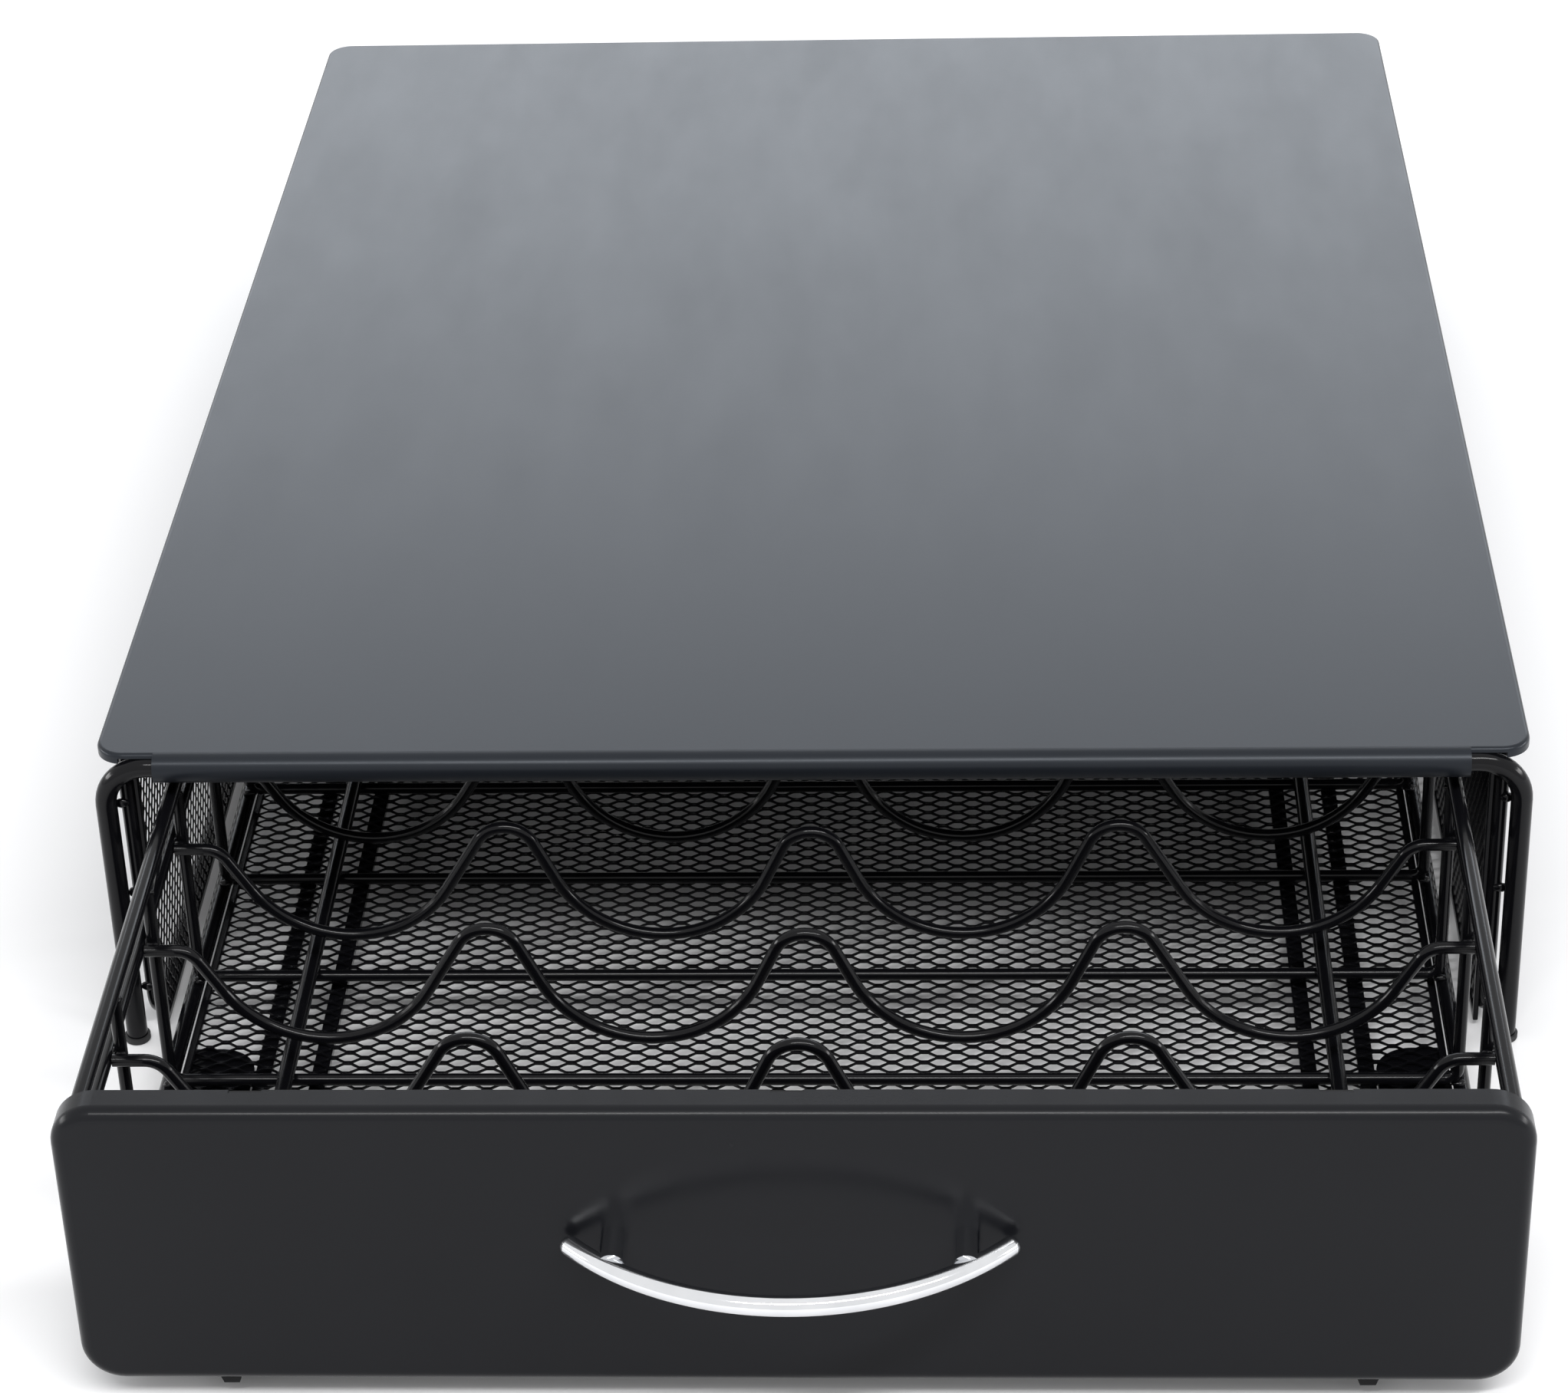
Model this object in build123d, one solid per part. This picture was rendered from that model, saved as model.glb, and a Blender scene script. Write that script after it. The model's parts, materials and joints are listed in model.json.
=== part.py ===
"""Coffee pod drawer: a wire and mesh housing with a flat top, and a sliding wire basket.

Millimetres, +Z up, +Y towards the back, +X to the right when facing the drawer's front.
The sizes below are set out from the front edge of the top plate (y = 0) and the table (z = 0).
Everything is then shifted along Y, so that the origin is under the middle of the whole object,
with the drawer pulled out by drawer_pull.
"""
import os
from math import cos, radians, sin, sqrt, tan

from build123d import *

# ---------------------------------------------------------------- driving dimensions
# top plate: a pressed sheet with its lip turned down, and its front edge rolled round the frame
housing_width = 290.0
housing_depth = 370.4
housing_height = 71.4
sheet = 1.0
lip_height = 2.2
plate_corner = 6.0
plate_edge_roll = 0.9
front_roll_end_inset = 12.3
front_roll_tail = 0.8

# housing frames
post_rod = 4.4
post_bend = 9.0
post_outset = 0.8
post_y = 0.6
side_rod = 3.0
side_bend = 7.0
side_frame_inset = 3.7
rear_lip_clearance = 1.2
weld_gap = 0.05
foot_height = 1.4
foot_diameter = 5.4
rear_foot_inset = 16.0
cross_rod = 4.0
front_cross_rod_y = 125.0
rear_cross_rod_inset = 66.0

# wall nets
net_sheet = 0.8
wall_net_drop = 4.0
wall_net_corner = 2.0
wall_net_columns = 20
wall_net_rows = 7
back_net_columns = 16
net_hem = 2.2
net_strand = 1.5

# drawer position and travel
drawer_pull = 104.35
closed_gap = 0.6
running_gap = 0.2
basket_side_gap = 5.4
drawer_rear_gap = 11.35
rail_headroom = 6.15
stop_gap = 0.3

# drawer front plate: a pressed tray, open at the back
front_overhang = 1.35
front_bottom = 4.9
front_top_drop = 3.7
front_tray_depth = 7.0
front_corner = 8.0
front_edge_roll = 2.5
clip_width = 6.0
clip_sheet = 0.4
clip_spacing = 98.0
notch_depth = 0.5

# handle
handle_z = 39.7
handle_half_length = 39.9
handle_reach = 19.5
handle_end_reach = 2.8
handle_bar = 3.8
handle_post_half_spacing = 32.0
handle_post_diameter = 5.2
handle_post_seat = 0.9
screw_head_diameter = 7.0
screw_head_height = 2.2

# basket
rail_rod = 3.2
rail_bend = 3.0
wire = 2.5
upright_inset = 0.35
row_bar_z = 12.0
row_bend = 2.6
row_pitch = 36.5
first_row_offset = 41.1
end_wire_offset = 4.6
side_wire_drop = 14.0

# wave wires
column_side_room = 5.6
hill_drop = 10.3
valley_z = 24.3
hill_bend = 6.4
wave_slope = 64.6
outer_valley_slope = 59.0
shoulder_bend = 5.0

# basket floor
border_rod = 3.4
border_outset = 0.85
border_bend = 6.0
floor_net_columns = 10
floor_net_rows = 16
floor_bar_width = 3.3
floor_bar_thickness = 1.2
inner_bar_inset = 30.1
outer_bar_inset = 18.4
runner_rod = 3.3
runner_inset = 25.4
arm_bar_gap = 0.35
arm_inset = 1.9
arm_length = 94.6
arm_corner = 8.0
arm_thickness = 1.0

# small tabs under the drawer
drawer_foot_top_width = 4.2
drawer_foot_bottom_width = 2.9
drawer_foot_depth = 3.0
drawer_foot_lift = 3.1
stop_tab_thickness = 2.0
stop_tab_lift = 2.4
stop_tab_inset = 6.0

# guide rods above the drawer's rails
guide_rod = 3.0
guide_start_y = 6.0

# ---------------------------------------------------------------- places worked out from them
plate_underside = housing_height - sheet
post_x = housing_width / 2 + post_outset - post_rod / 2
post_top_z = plate_underside - weld_gap - post_rod / 2
rear_post_y = housing_depth - sheet - rear_lip_clearance - post_rod / 2
rear_bar_z = foot_height + post_rod / 2
rear_cross_rod_y = rear_post_y - rear_cross_rod_inset
front_roll_bore = post_rod / 2 + weld_gap
front_roll_half_width = housing_width / 2 - front_roll_end_inset
housing_front_y = post_y - front_roll_bore - sheet

side_frame_x = post_x - side_frame_inset
wall_net_x = side_frame_x - side_rod / 2 - weld_gap - net_sheet
wall_net_top = plate_underside - wall_net_drop
side_front_y = post_y + post_rod / 2 + weld_gap + side_rod / 2
side_rear_y = rear_post_y - post_rod / 2 - weld_gap - side_rod / 2
side_top_z = plate_underside - weld_gap - side_rod / 2
side_bottom_z = foot_height + side_rod / 2
back_net_y = rear_post_y - post_rod / 2 - weld_gap - net_sheet

front_back_y = housing_front_y - closed_gap - drawer_pull
front_face_y = front_back_y - front_tray_depth
drawer_rear_y = back_net_y - drawer_rear_gap - drawer_pull
drawer_length = drawer_rear_y - front_back_y
rail_half_width = wall_net_x - basket_side_gap - rail_rod / 2
rail_z = post_top_z - post_rod / 2 - rail_headroom
front_half_width = rail_half_width + rail_rod / 2 + front_overhang
front_top = housing_height - front_top_drop
rail_front_y = front_back_y + weld_gap + rail_rod / 2
rail_rear_y = drawer_rear_y - rail_rod / 2
front_wire_y = front_back_y + end_wire_offset
rear_wire_y = drawer_rear_y - end_wire_offset
row_space = drawer_length - first_row_offset - end_wire_offset - 2 * wire
row_count = int(row_space / row_pitch) + 1
row_y = [front_back_y + first_row_offset + row_pitch * i for i in range(row_count)]
upright_top = rail_z - rail_rod / 2 - weld_gap
upright_half_width = rail_half_width - upright_inset
side_wire_x = upright_half_width + wire + weld_gap
side_wire_z = rail_z - side_wire_drop
wave_pitch = (upright_half_width - column_side_room) / 2
hill_z = rail_z - hill_drop
border_half_width = rail_half_width + border_outset
border_z = row_bar_z - wire / 2 - weld_gap - border_rod / 2
floor_net_bottom = border_z - border_rod / 2 - weld_gap
floor_bar_top = floor_net_bottom - weld_gap
floor_bar_bottom = floor_bar_top - floor_bar_thickness
inner_bar_x = border_half_width - inner_bar_inset
outer_bar_x = border_half_width - outer_bar_inset
arm_inner_x = outer_bar_x + floor_bar_width / 2 + arm_bar_gap
arm_outer_x = border_half_width - arm_inset
runner_x = border_half_width - runner_inset
runner_z = row_bar_z + wire / 2 + runner_rod / 2 + weld_gap
cross_rod_z = floor_bar_bottom - running_gap - cross_rod / 2
cross_rod_end = wall_net_x - weld_gap
guide_z = rail_z + rail_rod / 2 + running_gap + guide_rod / 2

handle_bar_y = front_face_y - handle_reach
handle_end_y = front_face_y - handle_end_reach
object_front_y = handle_bar_y - handle_bar / 2
origin_y = (object_front_y + housing_depth) / 2

stop_tab_y = drawer_rear_y - stop_tab_inset
opening_travel = stop_tab_y - stop_tab_thickness - (front_cross_rod_y + cross_rod / 2) - stop_gap


# ---------------------------------------------------------------- helpers
def save(name, *solids):
    """Write one named sub-part, shifted to the object's own origin."""
    placed = [Pos(0, -origin_y, 0) * solid for solid in solids]
    shape = placed[0] if len(placed) == 1 else Compound(children=placed)
    export_step(shape, f"parts/{name}.step")


def rod(start, end, diameter):
    """A straight round rod between two points."""
    line = Edge.make_line(start, end)
    section = Plane(origin=start, z_dir=line % 0) * Circle(diameter / 2)
    return sweep(section, path=line)


def bent_rod(points, bends, diameter):
    """A round rod along straight runs, joined by tangent arcs of the given centre-line radii."""
    path = FilletPolyline(*points, radius=bends)
    section = Plane(origin=path @ 0, z_dir=path % 0) * Circle(diameter / 2)
    return sweep(section, path=path)


def rod_loop(corners, bend, diameter):
    """A closed four-cornered rod loop, made of two halves that meet in the middles of two sides."""
    first, second, third, fourth = [Vector(corner) for corner in corners]
    start = (first + second) / 2
    middle = (third + fourth) / 2
    front_half = bent_rod([start, second, third, middle], bend, diameter)
    back_half = bent_rod([middle, fourth, first, start], bend, diameter)
    return front_half + back_half


def block(x_range, y_range, z_range):
    """A box given by its limits along each axis."""
    size = [high - low for low, high in (x_range, y_range, z_range)]
    middle = [(low + high) / 2 for low, high in (x_range, y_range, z_range)]
    return Pos(*middle) * Box(*size)


def net(width, height, corner, columns, rows, plane, thickness):
    """An expanded net as one holed sheet: staggered diamond gaps inside a plain hem.

    The sheet's width runs along the plane's x direction and its height along its y direction.
    """
    pitch_x = (width - 2 * net_hem) / columns
    pitch_y = (height - 2 * net_hem) / rows
    half_x = pitch_x / 2 - net_strand / 2
    half_y = pitch_y / 2 - net_strand * pitch_y / pitch_x / 2
    left = -width / 2 + net_hem
    bottom = -height / 2 + net_hem
    centres = [
        (left + (i + 0.5) * pitch_x, bottom + (j + 0.5) * pitch_y)
        for i in range(columns)
        for j in range(rows)
    ]
    centres += [
        (left + i * pitch_x, bottom + j * pitch_y)
        for i in range(1, columns)
        for j in range(1, rows)
    ]
    gaps = [
        Wire.make_polygon(
            [(x - half_x, y), (x, y - half_y), (x + half_x, y), (x, y + half_y)], close=True
        )
        for x, y in centres
    ]
    outline = RectangleRounded(width, height, corner).wire()
    return extrude(plane * Face(outline, gaps), amount=thickness, dir=plane.z_dir)


def tray(half_width, bottom, top, back_y, depth, corner, roll, wall):
    """A pressed tray that faces -Y and is open at the back."""
    middle = (bottom + top) / 2

    def solid(inset, front_y, length, edge):
        face = Plane(origin=(0, front_y, middle), x_dir=(1, 0, 0), z_dir=(0, 1, 0))
        shape = RectangleRounded(
            2 * (half_width - inset), top - bottom - 2 * inset, corner - inset
        )
        body = extrude(face * shape, amount=length)
        front_edges = body.edges().filter_by_position(Axis.Y, front_y - 0.01, front_y + 0.01)
        return fillet(front_edges, edge)

    outer = solid(0, back_y - depth, depth, roll)
    inner = solid(wall, back_y - depth + wall, depth, roll - wall)
    return outer - inner


# ---------------------------------------------------------------- housing
def make_top_plate():
    """The flat top with its turned-down lip, and its front edge rolled round the frame's bar."""
    middle_y = housing_depth / 2
    outline = RectangleRounded(housing_width, housing_depth, plate_corner)
    outer = extrude(Pos(0, middle_y, housing_height - lip_height) * outline, amount=lip_height)
    outer = fillet(outer.faces().sort_by(Axis.Z)[-1].edges(), plate_edge_roll)
    inner_outline = RectangleRounded(
        housing_width - 2 * sheet, housing_depth - 2 * sheet, plate_corner - sheet
    )
    inner = extrude(
        Pos(0, middle_y, housing_height - lip_height) * inner_outline, amount=lip_height - sheet
    )
    bar_room = block(
        (plate_corner - sheet - housing_width / 2, housing_width / 2 - plate_corner + sheet),
        (-sheet, post_y + front_roll_bore),
        (housing_height - lip_height - sheet, plate_underside),
    )
    ends = (-front_roll_half_width, post_y, post_top_z), (front_roll_half_width, post_y, post_top_z)
    roll = rod(*ends, 2 * (front_roll_bore + sheet)) - rod(*ends, 2 * front_roll_bore)
    roll -= block(
        (-front_roll_half_width, front_roll_half_width),
        (post_y + front_roll_tail, post_y + post_rod),
        (post_top_z - post_rod, plate_underside),
    )
    return outer - inner - bar_room + roll


def make_front_frame():
    """The inverted U of rod that stands at the drawer's mouth."""
    points = [
        (-post_x, post_y, foot_height),
        (-post_x, post_y, post_top_z),
        (post_x, post_y, post_top_z),
        (post_x, post_y, foot_height),
    ]
    return bent_rod(points, post_bend, post_rod)


def make_rear_frame():
    """The closed rod frame at the back of the housing."""
    corners = [
        (-post_x, rear_post_y, rear_bar_z),
        (post_x, rear_post_y, rear_bar_z),
        (post_x, rear_post_y, post_top_z),
        (-post_x, rear_post_y, post_top_z),
    ]
    return rod_loop(corners, post_bend, post_rod)


def make_side_frame(side):
    """The closed rod border of one side wall; side is -1 for left and 1 for right."""
    x = side * side_frame_x
    corners = [
        (x, side_front_y, side_bottom_z),
        (x, side_rear_y, side_bottom_z),
        (x, side_rear_y, side_top_z),
        (x, side_front_y, side_top_z),
    ]
    return rod_loop(corners, side_bend, side_rod)


def make_side_net(side):
    """One side wall's net, on the inner side of its rod border."""
    height = wall_net_top - foot_height
    depth = side_rear_y - side_front_y
    outer_x = wall_net_x + net_sheet if side > 0 else -wall_net_x
    plane = Plane(
        origin=(outer_x, (side_rear_y + side_front_y) / 2, foot_height + height / 2),
        x_dir=(0, 1, 0),
        z_dir=(-1, 0, 0),
    )
    return net(depth, height, wall_net_corner, wall_net_columns, wall_net_rows, plane, net_sheet)


def make_back_net():
    """The back wall's net, in front of the rear frame and between the side nets."""
    height = wall_net_top - foot_height
    width = 2 * (wall_net_x - weld_gap)
    plane = Plane(
        origin=(0, back_net_y, foot_height + height / 2), x_dir=(-1, 0, 0), z_dir=(0, 1, 0)
    )
    return net(width, height, wall_net_corner, back_net_columns, wall_net_rows, plane, net_sheet)


def make_cross_rod(y):
    """A rod across the open bottom, which the drawer's floor bars slide on."""
    return rod((-cross_rod_end, y, cross_rod_z), (cross_rod_end, y, cross_rod_z), cross_rod)


def make_guide(side):
    """A rod above one of the drawer's rails, which keeps the drawer from tipping."""
    x = side * rail_half_width
    return rod((x, guide_start_y, guide_z), (x, back_net_y - weld_gap, guide_z), guide_rod)


def make_housing_foot(x, y):
    """A round rubber pad with a softened rim."""
    foot = Pos(x, y, foot_height / 2) * Cylinder(foot_diameter / 2, foot_height)
    return fillet(foot.edges().sort_by(Axis.Z)[0], 0.4)


# ---------------------------------------------------------------- drawer front and handle
def make_front_plate():
    """The drawer's front tray, with a shallow notch in its top flange at each clip."""
    plate = tray(
        front_half_width, front_bottom, front_top, front_back_y,
        front_tray_depth, front_corner, front_edge_roll, sheet,
    )
    half_notch = clip_width / 2
    for x in (-clip_spacing, 0, clip_spacing):
        plate -= block(
            (x - half_notch, x + half_notch),
            (front_back_y - sheet, front_back_y + sheet),
            (front_top - notch_depth, front_top + sheet),
        )
    return plate


def make_clip(x):
    """A strap that hangs the front plate on the rail's front bar."""
    half = clip_width / 2
    back = front_back_y + clip_sheet
    rest_z = rail_z + rail_rod / 2 + weld_gap
    upright = block(
        (x - half, x + half), (front_back_y, back), (rest_z, front_top - notch_depth)
    )
    tongue = block(
        (x - half, x + half), (back, rail_front_y + rail_rod / 2), (rest_z, rest_z + clip_sheet)
    )
    return upright + tongue


def handle_arc():
    """The bow's centre line, from its left end through the middle to its right end."""
    return ThreePointArc(
        (-handle_half_length, handle_end_y, handle_z),
        (0, handle_bar_y, handle_z),
        (handle_half_length, handle_end_y, handle_z),
    )


def make_handle_bow():
    """The bowed bar, with round ends."""
    path = handle_arc()
    section = Plane(origin=path @ 0, z_dir=path % 0) * Circle(handle_bar / 2)
    bow = sweep(section, path=path)
    for end in (path @ 0, path @ 1):
        bow += Pos(*end) * Sphere(handle_bar / 2)
    return bow


def make_handle_post(side, bow):
    """A stand-off between the front plate and the bow, cut to the back of the bow."""
    x = side * handle_post_half_spacing
    rise = handle_reach - handle_end_reach
    arc_radius = (handle_half_length**2 + rise**2) / (2 * rise)
    drop = arc_radius - sqrt(arc_radius**2 - handle_post_half_spacing**2)
    bar_back_y = handle_bar_y + drop + handle_post_seat
    return rod((x, front_face_y, handle_z), (x, bar_back_y, handle_z), handle_post_diameter) - bow


def make_handle_screw(side):
    """A pan-head screw inside the front plate, behind one stand-off."""
    x = side * handle_post_half_spacing
    start = front_face_y + sheet + weld_gap
    head = rod((x, start, handle_z), (x, start + screw_head_height, handle_z), screw_head_diameter)
    return fillet(head.edges().sort_by(Axis.Y)[-1], 0.8)


def make_drawer_foot(side):
    """A short tapered tab under the front plate."""
    x = side * runner_x
    y = front_back_y - front_tray_depth / 2
    bottom = Pos(x, y, drawer_foot_lift) * Rectangle(drawer_foot_bottom_width, drawer_foot_depth)
    top = Pos(x, y, front_bottom) * Rectangle(drawer_foot_top_width, drawer_foot_depth)
    return loft([bottom, top])


# ---------------------------------------------------------------- basket
def make_top_rail():
    """The basket's top rim: a closed loop of rod."""
    corners = [
        (-rail_half_width, rail_front_y, rail_z),
        (rail_half_width, rail_front_y, rail_z),
        (rail_half_width, rail_rear_y, rail_z),
        (-rail_half_width, rail_rear_y, rail_z),
    ]
    return rod_loop(corners, rail_bend, rail_rod)


def make_row_wire(y):
    """A U-shaped wire across the basket, from rail to rail."""
    points = [
        (-upright_half_width, y, upright_top),
        (-upright_half_width, y, row_bar_z),
        (upright_half_width, y, row_bar_z),
        (upright_half_width, y, upright_top),
    ]
    return bent_rod(points, row_bend, wire)


def corner_offset(bend, slope):
    """How far a corner lies beyond the arc that rounds it, between two runs of the same slope."""
    return bend * (1 / cos(slope) - 1)


def wave_corners():
    """Corner points and bend radii of a wave wire, from left to right.

    The straight runs between hills and valleys have the wave slope, which sets the radius of the
    valleys. The two outer valleys are a little wider, with a gentler slope.
    """
    slope = radians(wave_slope)
    outer_slope = radians(outer_valley_slope)
    rise = hill_z - valley_z
    both_bends = (wave_pitch / 2 * sin(slope) - rise * cos(slope)) / (1 - cos(slope))
    valley_bend = both_bends - hill_bend
    hill_corner = hill_z + corner_offset(hill_bend, slope)
    valley_corner = valley_z - corner_offset(valley_bend, slope)
    outer_corner = valley_z - corner_offset(valley_bend, outer_slope)
    outer_x = wave_pitch + (hill_corner - outer_corner) / tan(outer_slope)
    shoulder_x = outer_x + (side_wire_z - outer_corner) / tan(outer_slope)
    right = [
        (wave_pitch / 2, valley_corner, valley_bend),
        (wave_pitch, hill_corner, hill_bend),
        (outer_x, outer_corner, valley_bend),
        (shoulder_x, side_wire_z, shoulder_bend),
    ]
    left = [(-x, z, bend) for x, z, bend in reversed(right)]
    return left + [(0, hill_corner, hill_bend)] + right


def make_wave_wire(y):
    """A wave-shaped wire beside a row wire, with its ends level against the side wires."""
    corners = wave_corners()
    end_x = side_wire_x - wire / 2 - weld_gap
    wave_y = y - wire - weld_gap
    points = [(-end_x, wave_y, side_wire_z)]
    points += [(x, wave_y, z) for x, z, bend in corners]
    points += [(end_x, wave_y, side_wire_z)]
    return bent_rod(points, [bend for x, z, bend in corners], wire)


def make_side_wire(side):
    """The lengthwise wire on the outside of the uprights."""
    x = side * side_wire_x
    return rod((x, front_wire_y - wire, side_wire_z), (x, rear_wire_y + wire, side_wire_z), wire)


def make_floor_border():
    """The closed rod border of the basket's floor."""
    front = front_back_y + weld_gap + border_rod / 2
    rear = drawer_rear_y - border_rod / 2
    corners = [
        (-border_half_width, front, border_z),
        (border_half_width, front, border_z),
        (border_half_width, rear, border_z),
        (-border_half_width, rear, border_z),
    ]
    return rod_loop(corners, border_bend, border_rod)


def make_floor_net():
    """The floor's net, inside the border rod."""
    half_width = border_half_width - border_rod / 2 - weld_gap
    front = front_back_y + border_rod + 2 * weld_gap
    rear = drawer_rear_y - border_rod - weld_gap
    plane = Plane(origin=(0, (front + rear) / 2, floor_net_bottom))
    corner = border_bend - border_rod / 2
    columns, rows = floor_net_columns, floor_net_rows
    return net(2 * half_width, rear - front, corner, columns, rows, plane, net_sheet)


def make_floor_bar(x):
    """A flat strip under the floor net, which slides on the cross rods."""
    half = floor_bar_width / 2
    return block(
        (x - half, x + half), (front_back_y, drawer_rear_y), (floor_bar_bottom, floor_bar_top)
    )


def make_runner(side):
    """A rod along the top of the row wires' bottom bars."""
    x = side * runner_x
    return rod((x, front_wire_y - wire, runner_z), (x, rear_wire_y + wire, runner_z), runner_rod)


def make_plate_arm(side):
    """A flat arm from the front plate, under the floor net, with a rounded free end."""
    arm = block(
        (arm_inner_x, arm_outer_x),
        (front_back_y, front_back_y + arm_length),
        (floor_bar_top - arm_thickness, floor_bar_top),
    )
    ends = arm.edges().filter_by(Axis.Z).group_by(Axis.Y)[-1]
    arm = fillet(ends.sort_by(Axis.X)[0], arm_corner)
    return arm if side > 0 else mirror(arm, about=Plane.YZ)


def make_stop_tab(side):
    """A tab under a floor bar that meets the front cross rod when the drawer is fully out."""
    x = side * inner_bar_x
    half = floor_bar_width / 2
    return block(
        (x - half, x + half),
        (stop_tab_y - stop_tab_thickness, stop_tab_y),
        (stop_tab_lift, floor_bar_bottom),
    )


# ---------------------------------------------------------------- assembly
os.makedirs("parts", exist_ok=True)
sides = (("left", -1), ("right", 1))

save("top_plate", make_top_plate())
save("front_frame", make_front_frame())
save("rear_frame", make_rear_frame())
save("back_net", make_back_net())
save("cross_rod_front", make_cross_rod(front_cross_rod_y))
save("cross_rod_rear", make_cross_rod(rear_cross_rod_y))

handle_bow = make_handle_bow()
save("front_plate", make_front_plate())
save("plate_clips", *[make_clip(x) for x in (-clip_spacing, 0, clip_spacing)])
save("handle_bow", handle_bow)
save("handle_screws", *[make_handle_screw(side) for name, side in sides])
save("stop_tabs", *[make_stop_tab(side) for name, side in sides])

save("top_rail", make_top_rail())
save("floor_border", make_floor_border())
save("floor_net", make_floor_net())
save("front_wire", make_row_wire(front_wire_y))
save("rear_wire", make_row_wire(rear_wire_y))
for number, y in enumerate(row_y, start=1):
    save(f"row_wire_{number}", make_row_wire(y))
    save(f"wave_wire_{number}", make_wave_wire(y))

for name, side in sides:
    save(f"side_frame_{name}", make_side_frame(side))
    save(f"side_net_{name}", make_side_net(side))
    save(f"guide_rod_{name}", make_guide(side))
    save(f"foot_front_{name}", make_housing_foot(side * post_x, post_y))
    save(f"foot_rear_{name}", make_housing_foot(side * (post_x - rear_foot_inset), rear_post_y))
    save(f"handle_post_{name}", make_handle_post(side, handle_bow))
    save(f"drawer_foot_{name}", make_drawer_foot(side))
    save(f"side_wire_{name}", make_side_wire(side))
    save(f"floor_bar_inner_{name}", make_floor_bar(side * inner_bar_x))
    save(f"floor_bar_outer_{name}", make_floor_bar(side * outer_bar_x))
    save(f"runner_{name}", make_runner(side))
    save(f"plate_arm_{name}", make_plate_arm(side))

print("origin shift along y", round(origin_y, 3))
print("travel from closed to this pose", drawer_pull)
print("travel from this pose to the stop", round(opening_travel, 3))
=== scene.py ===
"""Looks of the coffee pod drawer: finishes, expanded nets, weld beads, and a plain studio.

Metres, +Z up, +Y towards the back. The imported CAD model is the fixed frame, and every piece here
is placed from it.
"""
import json
import math

import bmesh
import bpy
import numpy as np
from mathutils import Matrix, Vector


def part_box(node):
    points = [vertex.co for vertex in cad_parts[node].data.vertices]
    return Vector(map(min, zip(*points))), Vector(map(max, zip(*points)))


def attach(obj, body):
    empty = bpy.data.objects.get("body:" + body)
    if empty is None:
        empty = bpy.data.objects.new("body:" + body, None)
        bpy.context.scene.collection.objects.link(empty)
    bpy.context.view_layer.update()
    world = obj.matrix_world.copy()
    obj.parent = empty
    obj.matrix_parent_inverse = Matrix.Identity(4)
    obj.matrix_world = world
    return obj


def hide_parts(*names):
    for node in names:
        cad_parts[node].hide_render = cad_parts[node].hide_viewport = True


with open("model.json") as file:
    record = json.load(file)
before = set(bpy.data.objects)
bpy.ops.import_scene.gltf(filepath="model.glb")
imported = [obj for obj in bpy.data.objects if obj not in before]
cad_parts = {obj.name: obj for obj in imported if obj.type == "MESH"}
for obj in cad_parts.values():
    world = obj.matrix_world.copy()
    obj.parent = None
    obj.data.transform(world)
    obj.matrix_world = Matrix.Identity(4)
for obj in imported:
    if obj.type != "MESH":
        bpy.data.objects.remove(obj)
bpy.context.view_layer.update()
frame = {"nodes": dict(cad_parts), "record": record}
MM = 0.001

# ---------------------------------------------------------------- camera, as solved from the photo
CAMERA_PLACE = (0.0354, -0.8209, 0.5154)
CAMERA_YAW = math.radians(-3.219)
CAMERA_PITCH = math.radians(31.443)
CAMERA_ROLL = math.radians(1.99)
CAMERA_LENS = 95.1
SENSOR_WIDTH = 36.0
NEAREST_SEEN = 0.01


def make_camera():
    """A camera with no shift. Yaw turns it about +Z, pitch tips it down, and roll is clockwise."""
    forward = Vector((
        math.sin(CAMERA_YAW) * math.cos(CAMERA_PITCH),
        math.cos(CAMERA_YAW) * math.cos(CAMERA_PITCH),
        -math.sin(CAMERA_PITCH),
    ))
    level_right = Vector((math.cos(CAMERA_YAW), -math.sin(CAMERA_YAW), 0))
    level_down = forward.cross(level_right)
    right = math.cos(CAMERA_ROLL) * level_right + math.sin(CAMERA_ROLL) * level_down
    down = forward.cross(right)
    data = bpy.data.cameras.new("camera")
    data.sensor_fit = "HORIZONTAL"
    data.sensor_width = SENSOR_WIDTH
    data.lens = CAMERA_LENS
    data.clip_start = NEAREST_SEEN
    camera = bpy.data.objects.new("camera", data)
    rotation = Matrix((right, -down, -forward)).transposed().to_4x4()
    camera.matrix_world = Matrix.Translation(CAMERA_PLACE) @ rotation
    bpy.context.scene.collection.objects.link(camera)
    bpy.context.scene.camera = camera


# ---------------------------------------------------------------- materials
def set_or_link(tree, socket, value):
    """Gives an input a constant, or links it where the value is another node's output."""
    if isinstance(value, bpy.types.NodeSocket):
        tree.links.new(value, socket)
    else:
        socket.default_value = value


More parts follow.
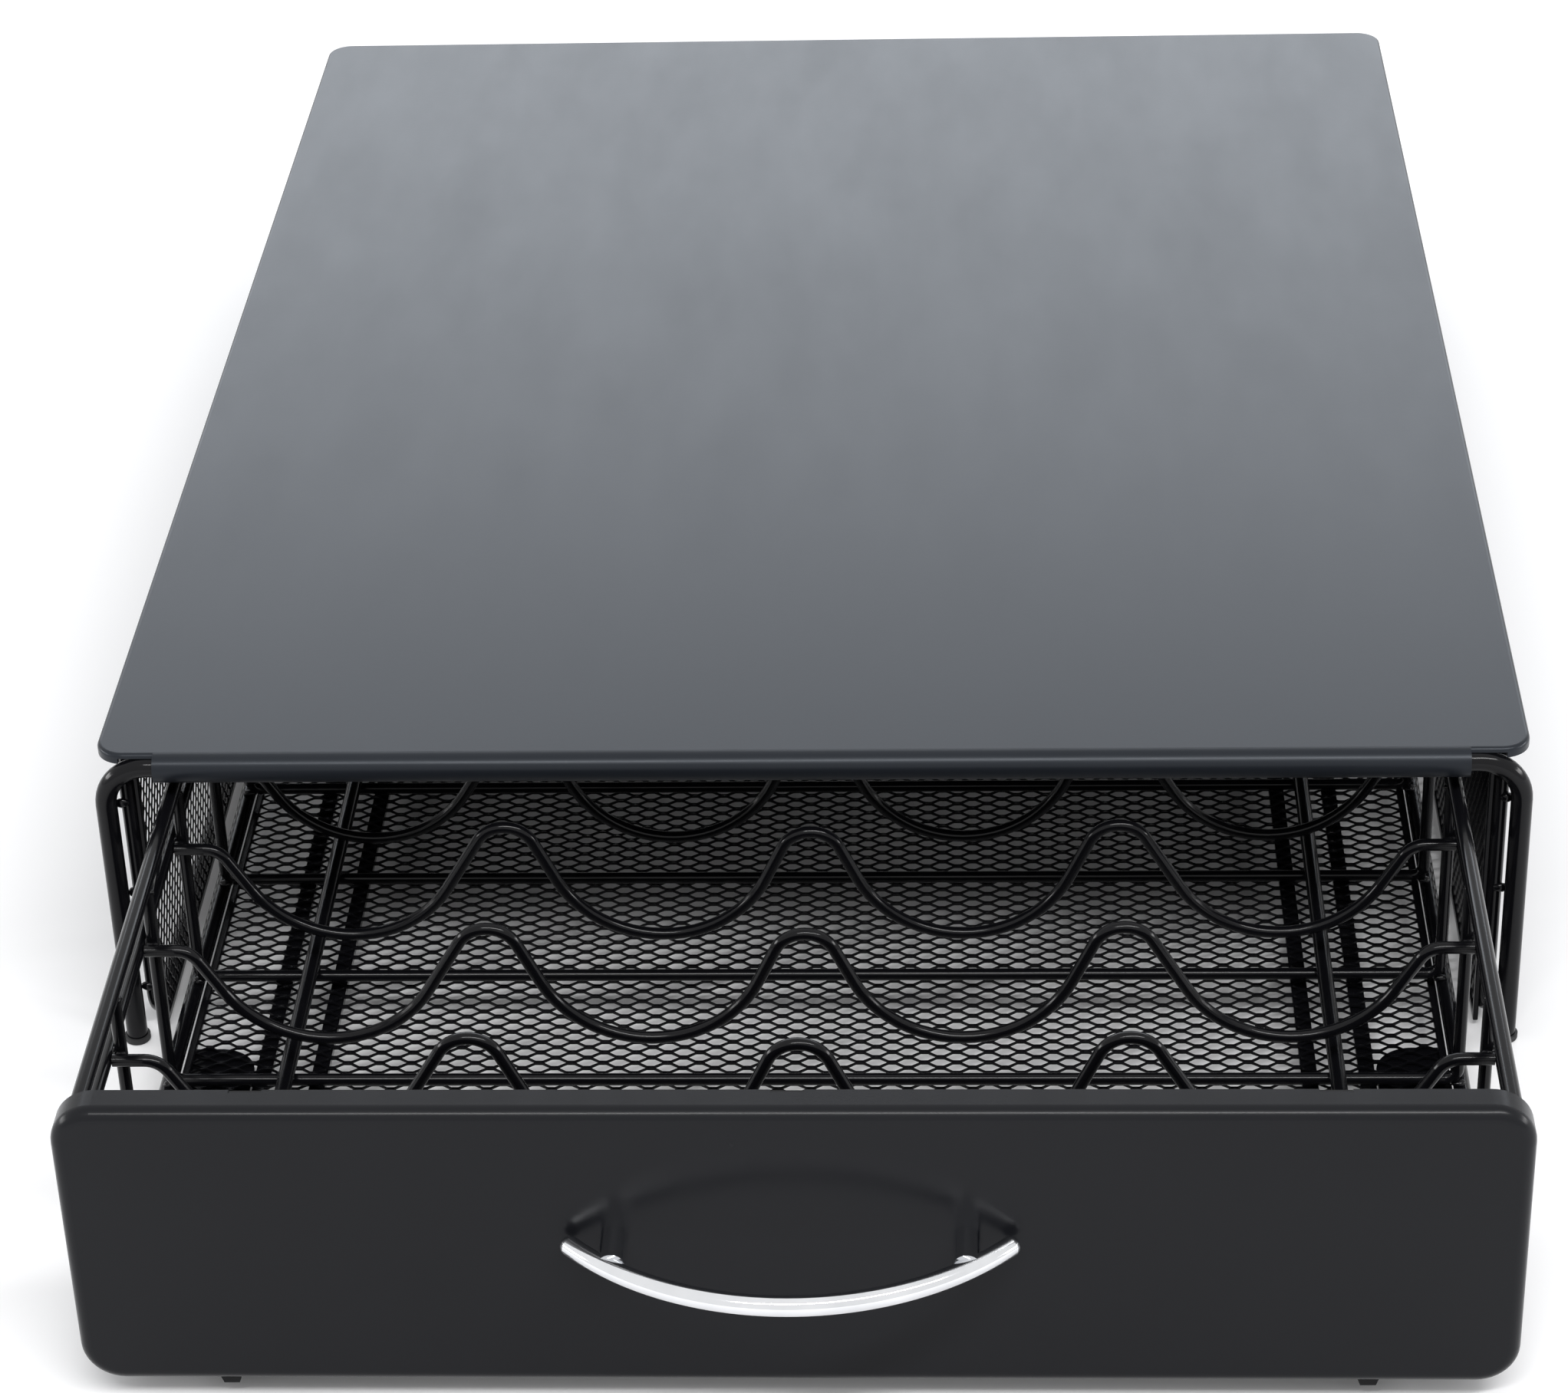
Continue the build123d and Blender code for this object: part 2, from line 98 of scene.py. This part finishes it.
class Nodes:
    """A short way to build one material's node tree around a Principled shader."""

    def __init__(self, name):
        self.material = bpy.data.materials.new(name)
        self.material.use_nodes = True
        self.tree = self.material.node_tree
        self.shader = self.tree.nodes["Principled BSDF"]
        coordinates = self.tree.nodes.new("ShaderNodeTexCoord")
        self.place = coordinates.outputs["Object"]

    def add(self, kind, **inputs):
        """A node of this kind, with its inputs set or linked by name."""
        node = self.tree.nodes.new(kind)
        for name, value in inputs.items():
            set_or_link(self.tree, node.inputs[name], value)
        return node

    def noise(self, scale, detail=3.0, roughness=0.55, stretch=(1, 1, 1)):
        """A noise value over the object, scale in waves per metre."""
        mapping = self.add("ShaderNodeMapping", Vector=self.place, Scale=stretch)
        texture = self.add(
            "ShaderNodeTexNoise", Vector=mapping.outputs[0], Scale=scale, Detail=detail,
            Roughness=roughness,
        )
        return texture.outputs["Fac"]

    def spread(self, value, low, high, to_low, to_high):
        """value, clamped from low..high and mapped to to_low..to_high."""
        node = self.add("ShaderNodeMapRange", Value=value)
        for name, number in (
            ("From Min", low), ("From Max", high), ("To Min", to_low), ("To Max", to_high)
        ):
            node.inputs[name].default_value = number
        return node.outputs["Result"]

    def mix(self, factor, first, second):
        """A colour between two constant colours."""
        node = self.tree.nodes.new("ShaderNodeMix")
        node.data_type = "RGBA"
        self.tree.links.new(factor, node.inputs["Factor"])
        for name, colour in (("A", first), ("B", second)):
            socket = next(s for s in node.inputs if s.name == name and s.type == "RGBA")
            socket.default_value = (*colour, 1)
        return next(s for s in node.outputs if s.type == "RGBA")

    def bump(self, height, depth, under=None):
        """A bump of the given depth in metres, optionally on top of another bump."""
        node = self.add("ShaderNodeBump", Height=height, Distance=depth, Strength=1.0)
        if under is not None:
            self.tree.links.new(under, node.inputs["Normal"])
        return node.outputs["Normal"]

    def feed(self, socket, value):
        """Links a node's output to one of the shader's inputs."""
        self.tree.links.new(value, self.shader.inputs[socket])

    def fix(self, socket, value):
        """Sets one of the shader's inputs to a constant."""
        self.shader.inputs[socket].default_value = value


def powder_coat(name, colour, roughness, level, peel_scale, peel_depth, tint=(1, 1, 1)):
    """Black powder coat: orange peel, faint cloudiness and lightly rubbed patches.

    level is its specular level, and tint the colour of what it mirrors face on.
    """
    m = Nodes(name)
    cloud = m.noise(14.0, 4.0)
    pale = tuple(c * 1.6 + 0.002 for c in colour)
    m.feed("Base Color", m.mix(m.spread(cloud, 0.3, 0.75, 0.0, 0.2), colour, pale))
    rub = m.noise(60.0, 5.0, 0.7, stretch=(1, 0.3, 1))
    m.feed("Roughness", m.spread(rub, 0.25, 0.8, roughness - 0.03, roughness + 0.04))
    peel = m.noise(peel_scale, 2.0, 0.5)
    grain = m.noise(peel_scale * 5, 2.0, 0.6)
    m.feed("Normal", m.bump(grain, peel_depth * 0.2, under=m.bump(peel, peel_depth)))
    m.fix("Specular IOR Level", level)
    m.fix("Specular Tint", (*tint, 1))
    return m.material


def chrome_plate(name):
    """Polished chrome with faint polishing lines and finger haze."""
    clean, hazy = (0.80, 0.81, 0.83), (0.68, 0.69, 0.71)
    m = Nodes(name)
    m.fix("Metallic", 1.0)
    haze = m.noise(90.0, 4.0, 0.6)
    m.feed("Base Color", m.mix(m.spread(haze, 0.3, 0.8, 0.0, 1.0), clean, hazy))
    m.feed("Roughness", m.spread(haze, 0.3, 0.8, 0.05, 0.13))
    lines = m.noise(900.0, 3.0, 0.6, stretch=(0.08, 1, 1))
    m.feed("Normal", m.bump(lines, 0.006 * MM))
    return m.material


def zinc_plate(name):
    """Zinc-plated screw steel, slightly yellow and blotchy."""
    yellow, grey = (0.60, 0.59, 0.54), (0.48, 0.49, 0.50)
    m = Nodes(name)
    m.fix("Metallic", 1.0)
    blotch = m.noise(700.0, 4.0)
    m.feed("Base Color", m.mix(m.spread(blotch, 0.3, 0.7, 0, 1), yellow, grey))
    m.feed("Roughness", m.spread(blotch, 0.3, 0.7, 0.28, 0.45))
    m.feed("Normal", m.bump(m.noise(4000.0, 2.0), 0.01 * MM))
    return m.material


def soft_rubber(name):
    """Matt black rubber with a fine moulded grain."""
    clean, dusty = (0.016, 0.016, 0.017), (0.05, 0.05, 0.05)
    m = Nodes(name)
    dust = m.noise(300.0, 4.0)
    m.feed("Base Color", m.mix(m.spread(dust, 0.45, 0.8, 0, 1), clean, dusty))
    m.feed("Roughness", m.spread(dust, 0.3, 0.8, 0.7, 0.9))
    m.feed("Normal", m.bump(m.noise(3500.0, 2.0), 0.03 * MM))
    return m.material


finish = {
    "top_paint": powder_coat(
        "top_paint", (0.012, 0.014, 0.018), roughness=0.31, level=0.25,
        peel_scale=900.0, peel_depth=0.004 * MM, tint=(0.86, 0.92, 1.0),
    ),
    "front_paint": powder_coat(
        "front_paint", (0.008, 0.0085, 0.0105), roughness=0.24, level=0.17,
        peel_scale=900.0, peel_depth=0.006 * MM,
    ),
    "wire_coat": powder_coat(
        "wire_coat", (0.0035, 0.0035, 0.0045), roughness=0.14, level=0.20,
        peel_scale=1500.0, peel_depth=0.005 * MM,
    ),
    "net_coat": powder_coat(
        "net_coat", (0.004, 0.004, 0.005), roughness=0.24, level=0.15,
        peel_scale=1500.0, peel_depth=0.008 * MM,
    ),
    "chrome": chrome_plate("chrome"),
    "zinc": zinc_plate("zinc"),
    "rubber": soft_rubber("rubber"),
}
slot_of = {part["node"]: part["material_slot"] for part in frame["record"]["subparts"]}
body_of = {
    node: body
    for body, members in frame["record"]["behaviour"]["bodies"].items()
    for node in members
}


def finish_cad_nodes():
    """Gives every CAD node the procedural finish of its material slot."""
    for name, piece in frame["nodes"].items():
        for slot in piece.material_slots:
            slot.material = finish[slot_of[name]]


def add_mesh(name, vertices, faces, slot, body, smooth=False):
    """A mesh piece that rides on a body and takes a slot's finish."""
    mesh = bpy.data.meshes.new(name)
    mesh.from_pydata(vertices, [], faces)
    mesh.validate()
    mesh.materials.append(finish[slot])
    if smooth:
        mesh.shade_smooth()
    piece = bpy.data.objects.new(name, mesh)
    bpy.context.scene.collection.objects.link(piece)
    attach(piece, body)
    return piece


# ---------------------------------------------------------------- expanded nets
# long and short are a cell's two diagonals
FLOOR_NET = {"long": 6.6 * MM, "short": 3.6 * MM, "thick": 0.5 * MM, "twist": 0.16 * MM}
WALL_NET = {"long": 4.7 * MM, "short": 3.5 * MM, "thick": 0.3 * MM, "twist": 0.10 * MM}
# a gap's corners, as shares of the cell's half diagonals
GAP_TIP = 0.80
GAP_SHOULDER_OUT = 0.64
GAP_SHOULDER_ALONG = 0.26
HEM_WIDTH = 1.6 * MM
HEM_THICK = 1.1 * MM
HEM_BEVEL = 0.25 * MM
SAME_POINT = 0.001 * MM


def net_cell(half_long, half_short, thick, twist):
    """Vertices and faces of one diamond cell with its gap, and the quads under its four edges.

    Each gap is a six-sided lens, and its two long sides stand at slightly different depths, as
    the twisted strands of expanded metal do.
    """
    outer = [(half_long, 0, 0), (0, half_short, 0), (-half_long, 0, 0), (0, -half_short, 0)]
    tip = half_long * GAP_TIP
    along = half_long * GAP_SHOULDER_ALONG
    out = half_short * GAP_SHOULDER_OUT
    gap = [
        (tip, 0, 0), (along, out, twist), (-along, out, twist),
        (-tip, 0, 0), (-along, -out, -twist), (along, -out, -twist),
    ]
    ring = np.array(outer + gap)
    lift = np.array((0, 0, thick / 2))
    vertices = np.concatenate([ring + lift, ring - lift])
    under = len(ring)
    top = [(0, 1, 5, 4), (1, 6, 5), (1, 2, 7, 6), (2, 3, 8, 7), (3, 9, 8), (3, 0, 4, 9)]
    below = [tuple(under + i for i in reversed(face)) for face in top]
    turn = list(range(len(outer), under))
    walls = [(i, j, under + j, under + i) for i, j in zip(turn, turn[1:] + turn[:1])]
    edges = [(i, (i + 1) % len(outer)) for i in range(len(outer))]
    rims = [(j, i, under + i, under + j) for i, j in edges]
    return vertices, top + below + walls, rims


def net_cells(length, width, kind, band, bands):
    """Vertices (along the gaps, across them, depth) and faces of one band of an expanded net."""
    columns = round(length / kind["long"])
    rows = round(width / kind["short"])
    pitch_u = length / columns
    pitch_v = width / rows
    cell, pattern, rims = net_cell(pitch_u / 2, pitch_v / 2, kind["thick"], kind["twist"])
    first_row = rows * band // bands
    end_row = rows * (band + 1) // bands
    even = [
        ((i + 0.5) * pitch_u, (j + 0.5) * pitch_v)
        for i in range(columns)
        for j in range(first_row, end_row)
    ]
    odd = [
        (i * pitch_u, j * pitch_v)
        for i in range(1, columns)
        for j in range(max(1, first_row), end_row)
    ]
    centres = np.array(even + odd) - (length / 2, width / 2)
    shift = np.concatenate([centres, np.zeros((len(centres), 1))], axis=1)
    points = (shift[:, None, :] + cell[None, :, :]).reshape(-1, 3)
    keys = np.round(points / SAME_POINT).astype(np.int64)
    kept, merged = np.unique(keys, axis=0, return_index=True, return_inverse=True)[1:]
    rings = merged.reshape(len(centres), len(cell)).tolist()
    faces = [tuple(ring[i] for i in face) for ring in rings for face in pattern]
    sides = [tuple(ring[i] for i in rim) for ring in rings for rim in rims]
    uses = {}
    for side in sides:
        edge = frozenset(side[:2])
        uses[edge] = uses.get(edge, 0) + 1
    faces += [side for side in sides if uses[frozenset(side[:2])] == 1]
    return points[kept], faces


def hem_frame(length, width):
    """Vertices and faces of the flat hem round a net: a rectangular ring of rectangular section.

    Its four rings of four corners are the outer top, outer bottom, inner top and inner bottom.
    """
    vertices = []
    for half_l, half_w in (
        (length / 2, width / 2), (length / 2 - HEM_WIDTH, width / 2 - HEM_WIDTH)
    ):
        for depth in (HEM_THICK / 2, -HEM_THICK / 2):
            for sign_l, sign_w in ((1, 1), (-1, 1), (-1, -1), (1, -1)):
                vertices.append((sign_l * half_l, sign_w * half_w, depth))
    faces = []
    for i in range(4):
        j = (i + 1) % 4
        faces.append((i, j, 8 + j, 8 + i))
        faces.append((4 + j, 4 + i, 12 + i, 12 + j))
        faces.append((j, i, 4 + i, 4 + j))
        faces.append((8 + i, 8 + j, 12 + j, 12 + i))
    return vertices, faces


def add_net(name, node, kind, long_axis, short_axis, depth_axis, bands=1):
    """An expanded net in one or more bands, with its hem, in the place of a CAD net."""
    low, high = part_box(node)
    middle = (low + high) / 2
    size = high - low
    order = [long_axis, short_axis, depth_axis]
    turns = [[1 if axis == row else 0 for axis in order] for row in range(3)]
    mirrored = Matrix(turns).determinant() < 0

    def place(piece_name, vertices, faces):
        points = np.zeros((len(vertices), 3))
        points[:, order] = np.array(vertices)
        turned = [tuple(reversed(face)) for face in faces] if mirrored else faces
        placed = (points + np.array(middle)).tolist()
        return add_mesh(piece_name, placed, turned, "net_coat", body_of[node])

    length = size[long_axis] - HEM_WIDTH
    width = size[short_axis] - HEM_WIDTH
    for band in range(bands):
        piece_name = name if bands == 1 else f"{name}_{band + 1}"
        net = place(piece_name, *net_cells(length, width, kind, band, bands))
        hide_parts(node)
    hem = place(name + "_hem", *hem_frame(size[long_axis], size[short_axis]))
    bevel = hem.modifiers.new("soft_edges", "BEVEL")
    bevel.width = HEM_BEVEL
    bevel.segments = 2


def make_nets():
    """The walls' nets have upright gaps, and the floor's gaps lie across the drawer."""
    x, y, z = range(3)
    add_net("net_side_left", "side_net_left", WALL_NET, z, y, x)
    add_net("net_side_right", "side_net_right", WALL_NET, z, y, x)
    add_net("net_back", "back_net", WALL_NET, z, x, y)
    add_net("net_floor", "floor_net", FLOOR_NET, x, y, z, bands=3)


# ---------------------------------------------------------------- weld beads
WIRE = 2.5 * MM
BEAD_LONG = 1.5 * MM
BEAD_WIDE = 1.1 * MM
BEAD_THIN = 0.8 * MM
BEAD_SINK = 0.1 * MM
BEAD_RISE = 0.2 * MM
POST_SIDE = 0.9 * MM
POST_WELD_HEIGHTS = (12 * MM, 36 * MM, 58 * MM)


def add_beads(name, body, places):
    """Small flattened weld beads, each place being a point and the axis the bead is thin along."""
    ball = bmesh.new()
    bmesh.ops.create_icosphere(ball, subdivisions=2, radius=1.0)
    shape = np.array([vertex.co[:] for vertex in ball.verts])
    shape_faces = [[vertex.index for vertex in face.verts] for face in ball.faces]
    ball.free()
    vertices, faces = [], []
    for number, (point, thin_axis) in enumerate(places):
        size = [BEAD_LONG, BEAD_WIDE]
        size.insert(thin_axis, BEAD_THIN)
        # two slow waves make each bead a little lumpy, and no two alike
        turn = 1.7 * number
        lumps = 1 + 0.10 * np.sin(3.1 * shape[:, 0] + turn)
        lumps += 0.08 * np.sin(4.3 * shape[:, 1] - turn)
        points = shape * lumps[:, None] * np.array(size) + np.array(point)
        faces += [[len(vertices) + i for i in face] for face in shape_faces]
        vertices += points.tolist()
    add_mesh(name, vertices, faces, "wire_coat", body, smooth=True)


def make_weld_beads():
    """Beads where the basket's wires cross, and where the housing's side frames meet the posts."""
    x, y, z = range(3)
    side_low, side_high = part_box("side_wire_right")
    side_wire_z = (side_low[z] + side_high[z]) / 2
    runner_low, runner_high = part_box("runner_right")
    runner_x = (runner_low[x] + runner_high[x]) / 2
    border_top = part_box("floor_border")[1][z]
    rail_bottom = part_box("top_rail")[0][z]
    places = []
    rows = sorted(name for name in frame["nodes"] if name.startswith("row_wire_"))
    for name in rows + ["front_wire", "rear_wire"]:
        low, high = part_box(name)
        wire_y = (low[y] + high[y]) / 2
        for side in (-1, 1):
            upright_x = side * (high[x] - WIRE / 2)
            places.append(((upright_x, wire_y, rail_bottom - BEAD_SINK), z))
            places.append(((side * side_low[x], wire_y, side_wire_z), x))
            places.append(((side * runner_x, wire_y, runner_low[z]), z))
            places.append(((upright_x + side * BEAD_RISE, wire_y, border_top + BEAD_RISE), z))
            if name in rows:
                places.append(((upright_x, low[y], side_wire_z), y))
    add_beads("weld_beads_basket", body_of["top_rail"], places)
    places = []
    for name, side in (("side_frame_left", -1), ("side_frame_right", 1)):
        low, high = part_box(name)
        weld_x = (low[x] + high[x]) / 2 + side * POST_SIDE
        for end in (low[y], high[y]):
            places += [((weld_x, end, height), y) for height in POST_WELD_HEIGHTS]
    add_beads("weld_beads_housing", body_of["front_frame"], places)


# ---------------------------------------------------------------- studio
FLOOR_HALF = 6.0
FLOOR_GLOW = 0.34
# how far from the object the floor glow's painted shade (ambient occlusion) reaches
FLOOR_SHADE_REACH = 0.16
WORLD_LIGHT = 0.42
TABLE_CENTRE = (0, 0, 0.05)


def maths(tree, operation, first, second):
    """The result of a Math node, each value being a node's output or a number."""
    node = tree.nodes.new("ShaderNodeMath")
    node.operation = operation
    set_or_link(tree, node.inputs[0], first)
    set_or_link(tree, node.inputs[1], second)
    return node.outputs[0]


def camera_like_rays(tree):
    """A value that is 1 for camera, glossy and transmission rays."""
    rays = tree.nodes.new("ShaderNodeLightPath").outputs
    seen = maths(tree, "MAXIMUM", rays["Is Camera Ray"], rays["Is Glossy Ray"])
    return maths(tree, "MAXIMUM", seen, rays["Is Transmission Ray"])


def make_floor():
    """A white paper floor. A little of its white is its own glow, and ambient occlusion dims that
    glow into a painted shade where the object is near and over it.
    """
    mesh = bpy.data.meshes.new("floor")
    corners = [(-1, -1), (1, -1), (1, 1), (-1, 1)]
    mesh.from_pydata([(x * FLOOR_HALF, y * FLOOR_HALF, 0) for x, y in corners], [], [(0, 1, 2, 3)])
    floor = bpy.data.objects.new("floor", mesh)
    bpy.context.scene.collection.objects.link(floor)
    material = bpy.data.materials.new("white_paper")
    material.use_nodes = True
    tree = material.node_tree
    shader = tree.nodes["Principled BSDF"]
    shader.inputs["Base Color"].default_value = (0.80, 0.80, 0.81, 1)
    shader.inputs["Roughness"].default_value = 0.9
    shader.inputs["Specular IOR Level"].default_value = 0.0
    # ambient occlusion dims the glow: a painted shade near and under the object
    shade = tree.nodes.new("ShaderNodeAmbientOcclusion")
    shade.inputs["Distance"].default_value = FLOOR_SHADE_REACH
    glow_after_painted_shade = maths(tree, "MULTIPLY", camera_like_rays(tree), shade.outputs["AO"])
    glow = tree.nodes.new("ShaderNodeEmission")
    glow.inputs["Color"].default_value = (1, 1, 1, 1)
    tree.links.new(maths(tree, "MULTIPLY", glow_after_painted_shade, FLOOR_GLOW), glow.inputs["Strength"])
    both = tree.nodes.new("ShaderNodeAddShader")
    tree.links.new(shader.outputs[0], both.inputs[0])
    tree.links.new(glow.outputs[0], both.inputs[1])
    tree.links.new(both.outputs[0], tree.nodes["Material Output"].inputs["Surface"])
    mesh.materials.append(material)


def make_world():
    """A plain white room: white to the eye and in reflections, and softer as a light."""
    world = bpy.data.worlds.new("studio")
    bpy.context.scene.world = world
    world.use_nodes = True
    tree = world.node_tree
    background = tree.nodes["Background"]
    background.inputs["Color"].default_value = (1, 1, 1, 1)
    strength = tree.nodes.new("ShaderNodeMapRange")
    strength.inputs["To Min"].default_value = WORLD_LIGHT
    strength.inputs["To Max"].default_value = 1.0
    tree.links.new(camera_like_rays(tree), strength.inputs["Value"])
    tree.links.new(strength.outputs["Result"], background.inputs["Strength"])


def area_light(name, place, target, width, height, power, colour=(1, 1, 1)):
    """A softbox that faces a point, and that the camera doesn't see."""
    data = bpy.data.lights.new(name, "AREA")
    data.shape = "RECTANGLE"
    data.size = width
    data.size_y = height
    data.energy = power
    data.color = colour
    light = bpy.data.objects.new(name, data)
    direction = Vector(target) - Vector(place)
    rotation = direction.to_track_quat("-Z", "Y").to_matrix().to_4x4()
    light.matrix_world = Matrix.Translation(place) @ rotation
    light.visible_camera = False
    bpy.context.scene.collection.objects.link(light)


def make_lights():
    """A long key over the front, a cool card behind for the top plate, and two low side strips."""
    area_light("key_strip", (0.35, -1.15, 1.8), TABLE_CENTRE, 2.0, 0.16, power=32.0)
    area_light(
        "back_card", (0, 2.6, 1.05), (0, 0.1, 0.05), 3.2, 0.9, power=33.0, colour=(0.86, 0.92, 1.0)
    )
    area_light("side_left", (-1.5, -0.1, 0.4), TABLE_CENTRE, 1.0, 0.22, power=7.0)
    area_light("side_right", (1.5, -0.1, 0.4), TABLE_CENTRE, 1.0, 0.22, power=7.0)


# ---------------------------------------------------------------- make everything
make_camera()
finish_cad_nodes()
make_nets()
make_weld_beads()
make_floor()
make_world()
make_lights()

bpy.context.scene.view_settings.view_transform = "Standard"
